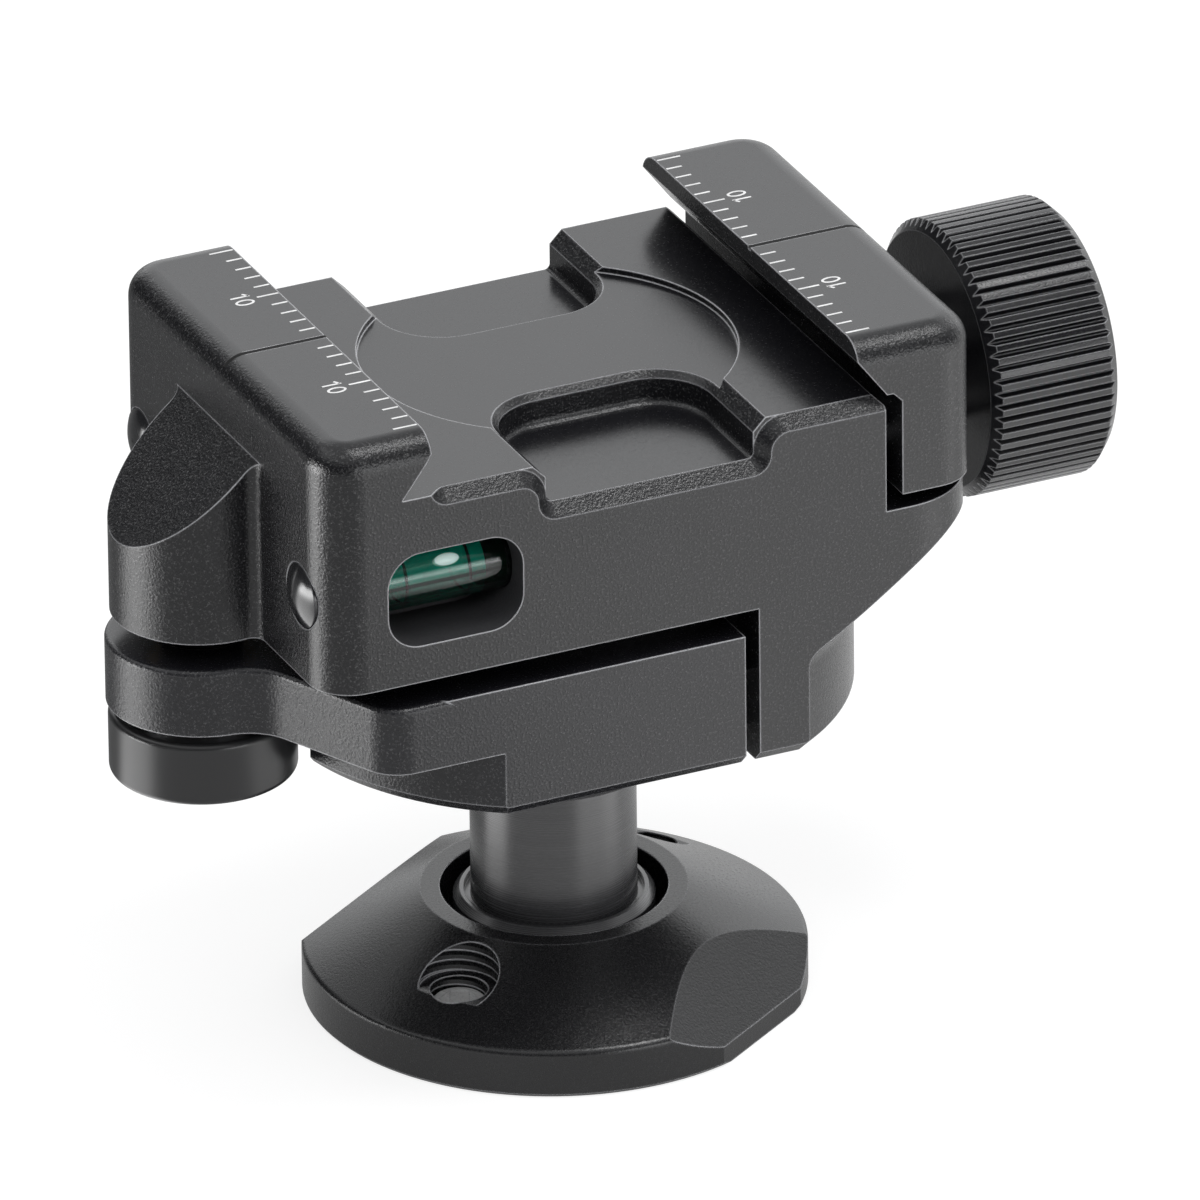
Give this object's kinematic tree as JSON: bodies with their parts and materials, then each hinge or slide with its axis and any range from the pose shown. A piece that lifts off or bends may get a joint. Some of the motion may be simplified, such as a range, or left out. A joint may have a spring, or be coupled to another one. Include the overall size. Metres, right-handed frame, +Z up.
{
  "type": "tripod ball head",
  "caption": "Compact inverted ball head: ball and stem on a round base, gripped by a split head with a lock screw, dovetail clamp, spirit level and knurled clamp knob.",
  "frame": {"origin": "middle of the base's resting face, on the axis of the tripod thread", "axes": "+Z up along the stem at rest; +X along the clamp screw towards its knob; +Y along the dovetail channel, towards the back"},
  "size_m": [0.0758, 0.037, 0.0561],
  "materials": {
    "black_anodised": "bead blasted, anodised black",
    "black_satin": "turned and anodised black, satin",
    "ball_alloy": "polished, hard anodised dark",
    "black_steel": "blackened steel",
    "bright_steel": "plain stainless steel",
    "spring_steel": "spring steel",
    "bush_brass": "machined brass",
    "seat_plastic": "acetal, smooth",
    "washer_plastic": "nylon",
    "level_acrylic": "clear acrylic",
    "level_liquid": "green liquid"
  },
  "bodies": {
    "base": {"base_plate": "black_anodised", "tripod_bush": "bright_steel", "base_set_screws": "black_steel", "snap_ring": "spring_steel"},
    "ball_stem": {"ball_stem": "ball_alloy"},
    "ball_seat": {"ball_seat": "seat_plastic"},
    "head": {"head_body": "black_anodised", "lock_bush": "bush_brass", "clamp_bush": "bush_brass", "hinge_pins": "bright_steel", "vial_tube": "level_acrylic", "vial_liquid": "level_liquid", "vial_cap": "level_acrylic", "front_bore_plug": "black_satin", "rear_bore_plug": "black_satin", "jaw_springs": "spring_steel"},
    "clamp_arm": {"clamp_arm": "black_anodised", "lock_washer": "bright_steel"},
    "lock_screw": {"lock_screw": "black_steel"},
    "moving_jaw": {"moving_jaw": "black_anodised", "guide_pins": "bright_steel", "knob_washer": "washer_plastic"},
    "clamp_knob": {"clamp_knob": "black_satin", "clamp_screw": "bright_steel", "screw_circlip": "spring_steel"}
  },
  "joints": [
    {"name": "base_pan", "type": "hinge", "parent": "base", "child": "ball_stem", "pos_m": [0, 0, 0], "axis": [0, 0, 1], "continuous": true},
    {"name": "ball_tilt", "type": "hinge", "parent": "ball_stem", "child": "ball_seat", "pos_m": [0, 0, 0.0315], "axis": [0, 1, 0], "range_deg": [-30, 30]},
    {"name": "ball_spin", "type": "hinge", "parent": "ball_seat", "child": "head", "pos_m": [0, 0, 0.0315], "axis": [0, 0, 1], "continuous": true},
    {"name": "arm_release", "type": "hinge", "parent": "head", "child": "clamp_arm", "pos_m": [0.0115, 0, 0.0285], "axis": [0, -1, 0], "range_deg": [0, 0.5]},
    {"name": "lock_turn", "type": "hinge", "parent": "clamp_arm", "child": "lock_screw", "pos_m": [-0.0277, 0, 0.0289], "axis": [0, 0, -1], "range_deg": [0, 140]},
    {"name": "jaw_slide", "type": "slide", "parent": "head", "child": "moving_jaw", "axis": [1, 0, 0], "range_m": [-0.0013, 0.003], "deforming": ["jaw_springs"]},
    {"name": "knob_turn", "type": "hinge", "parent": "moving_jaw", "child": "clamp_knob", "pos_m": [0.0309, 0, 0.0439], "axis": [1, 0, 0], "range_deg": [-585.1, 1350.1]}
  ],
  "couplings": [
    {"joint": "arm_release", "follows": "lock_turn", "ratio": 0.00357},
    {"joint": "knob_turn", "follows": "jaw_slide", "rad_per_m": 7854}
  ]
}
